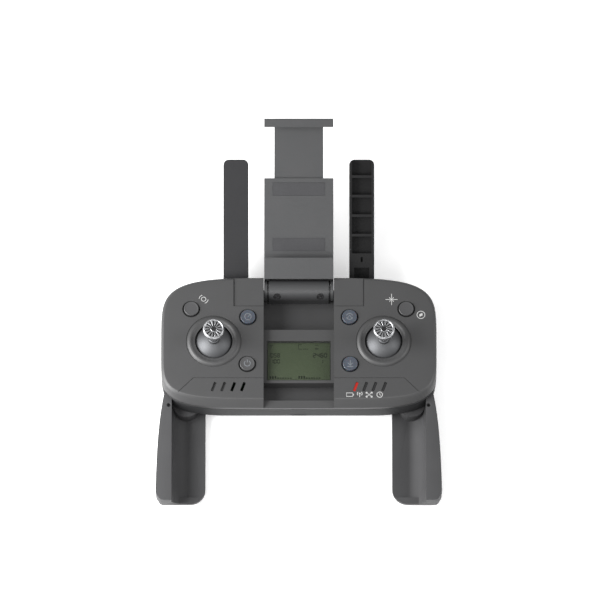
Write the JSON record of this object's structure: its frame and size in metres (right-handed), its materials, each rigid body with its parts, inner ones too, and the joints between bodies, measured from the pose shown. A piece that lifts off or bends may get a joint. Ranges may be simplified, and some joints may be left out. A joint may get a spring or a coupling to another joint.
{
  "type": "radio transmitter",
  "caption": "Hand-held drone radio transmitter with sticks, a display, folding grips, swing-up antennas and a folding phone clamp.",
  "frame": {"origin": "middle of the case, on its flat back face", "axes": "+Z out of the face with the sticks, +Y towards the phone clamp and antennas, +X to the right as the face is seen with the grips nearest the viewer"},
  "size_m": [0.1514, 0.2073, 0.0569],
  "materials": {
    "case_plastic": "fine matt texture",
    "lower_case_plastic": "fine matt texture",
    "grip_plastic": "fine matt texture",
    "clamp_plastic": "fine matt texture",
    "antenna_plastic": "smooth matt",
    "dark_antenna_plastic": "smooth matt",
    "button_plastic": "satin",
    "lit_button_plastic": "translucent satin",
    "silver_plastic": "satin silver coating",
    "steel": "bright",
    "black_steel": "blackened",
    "pad_rubber": "matt",
    "circuit_board": "solder mask",
    "component": "moulded",
    "potentiometer": "moulded",
    "battery": "shrink film",
    "led": "moulded",
    "light_pipe": "translucent",
    "display_cover": "clear",
    "display_glass": "liquid crystal display",
    "backlight": "diffuse white",
    "gimbal_plastic": "moulded",
    "nylon": "natural"
  },
  "bodies": {
    "root": {"top_shell": "case_plastic", "bottom_shell": "lower_case_plastic", "shell_screws": "black_steel", "display_window": "display_cover", "display_glass": "display_glass", "display_backlight": "backlight", "main_board": "circuit_board", "button_boards": "circuit_board", "tact_switches": "component", "led_chips": "led", "status_light_pipes": "light_pipe", "usb_socket": "steel", "battery_pack": "battery", "speaker": "component", "radio_module": "circuit_board", "left_gimbal_base": "gimbal_plastic", "left_pitch_pot": "potentiometer", "left_springs": "steel", "right_gimbal_base": "gimbal_plastic", "right_pitch_pot": "potentiometer", "right_springs": "steel", "grip_pivot_screws": "steel", "antenna_pins": "steel", "hinge_block": "clamp_plastic", "hinge_washers": "nylon", "hinge_pin": "steel", "hinge_screws": "steel"},
    "phone_arm": {"clamp_arm": "clamp_plastic", "clamp_back_cover": "clamp_plastic", "cover_screws": "black_steel", "clamp_spring": "steel", "lower_jaw_pad": "pad_rubber", "arm_pads": "pad_rubber"},
    "clamp_jaw": {"clamp_slider": "clamp_plastic", "upper_jaw_pad": "pad_rubber"},
    "left_grip": {"left_grip": "grip_plastic"},
    "right_grip": {"right_grip": "grip_plastic"},
    "left_antenna": {"left_antenna": "antenna_plastic"},
    "right_antenna": {"right_antenna": "dark_antenna_plastic"},
    "left_gimbal": {"left_gimbal_frame": "gimbal_plastic", "left_roll_pot": "potentiometer"},
    "left_stick": {"left_stick_shaft": "steel", "left_stick_dome": "silver_plastic", "left_stick_cap": "silver_plastic"},
    "right_gimbal": {"right_gimbal_frame": "gimbal_plastic", "right_roll_pot": "potentiometer"},
    "right_stick": {"right_stick_shaft": "steel", "right_stick_dome": "silver_plastic", "right_stick_cap": "silver_plastic"},
    "left_photo_button": {"left_photo_button": "button_plastic"},
    "left_speed_button": {"left_speed_button": "lit_button_plastic"},
    "power_button": {"power_button": "button_plastic"},
    "right_video_button": {"right_video_button": "button_plastic"},
    "right_flip_button": {"right_flip_button": "lit_button_plastic"},
    "right_land_button": {"right_land_button": "lit_button_plastic"}
  },
  "joints": [
    {"name": "arm_fold", "type": "hinge", "parent": "root", "child": "phone_arm", "pos_m": [0, 0.0316, 0.0195], "axis": [1, 0, 0], "range_deg": [-12, 158]},
    {"name": "jaw_slide", "type": "slide", "parent": "phone_arm", "child": "clamp_jaw", "axis": [0, 0.9272, 0.3746], "range_m": [-0.0277, 0.0083]},
    {"name": "left_grip_fold", "type": "hinge", "parent": "root", "child": "left_grip", "pos_m": [-0.06, -0.03, 0.01], "axis": [0, 0, 1], "range_deg": [0, 90]},
    {"name": "right_grip_fold", "type": "hinge", "parent": "root", "child": "right_grip", "pos_m": [0.06, -0.03, 0.01], "axis": [0, 0, -1], "range_deg": [0, 90]},
    {"name": "left_antenna_tilt", "type": "hinge", "parent": "root", "child": "left_antenna", "pos_m": [-0.0335, 0.0385, 0.0125], "axis": [1, 0, 0], "range_deg": [-22, 35]},
    {"name": "right_antenna_tilt", "type": "hinge", "parent": "root", "child": "right_antenna", "pos_m": [0.0335, 0.0385, 0.0125], "axis": [1, 0, 0], "range_deg": [-22, 35]},
    {"name": "left_stick_pitch", "type": "hinge", "parent": "root", "child": "left_gimbal", "pos_m": [-0.0451, 0, 0.0174], "axis": [1, 0, 0], "range_deg": [-20, 20], "stiffness_Nm_per_rad": 0.03},
    {"name": "left_stick_roll", "type": "hinge", "parent": "left_gimbal", "child": "left_stick", "pos_m": [-0.0451, 0, 0.0174], "axis": [0, 1, 0], "range_deg": [-20, 20], "stiffness_Nm_per_rad": 0.03},
    {"name": "right_stick_pitch", "type": "hinge", "parent": "root", "child": "right_gimbal", "pos_m": [0.0451, 0, 0.0174], "axis": [1, 0, 0], "range_deg": [-20, 20], "stiffness_Nm_per_rad": 0.03},
    {"name": "right_stick_roll", "type": "hinge", "parent": "right_gimbal", "child": "right_stick", "pos_m": [0.0451, 0, 0.0174], "axis": [0, 1, 0], "range_deg": [-20, 20], "stiffness_Nm_per_rad": 0.03},
    {"name": "left_photo_button_press", "type": "slide", "parent": "root", "child": "left_photo_button", "axis": [0, 0, -1], "range_m": [0, 0.0006], "stiffness_N_per_m": 300},
    {"name": "left_speed_button_press", "type": "slide", "parent": "root", "child": "left_speed_button", "axis": [0, 0, -1], "range_m": [0, 0.0006], "stiffness_N_per_m": 300},
    {"name": "power_button_press", "type": "slide", "parent": "root", "child": "power_button", "axis": [0, 0, -1], "range_m": [0, 0.0006], "stiffness_N_per_m": 300},
    {"name": "right_video_button_press", "type": "slide", "parent": "root", "child": "right_video_button", "axis": [0, 0, -1], "range_m": [0, 0.0006], "stiffness_N_per_m": 300},
    {"name": "right_flip_button_press", "type": "slide", "parent": "root", "child": "right_flip_button", "axis": [0, 0, -1], "range_m": [0, 0.0006], "stiffness_N_per_m": 300},
    {"name": "right_land_button_press", "type": "slide", "parent": "root", "child": "right_land_button", "axis": [0, 0, -1], "range_m": [0, 0.0006], "stiffness_N_per_m": 300}
  ]
}
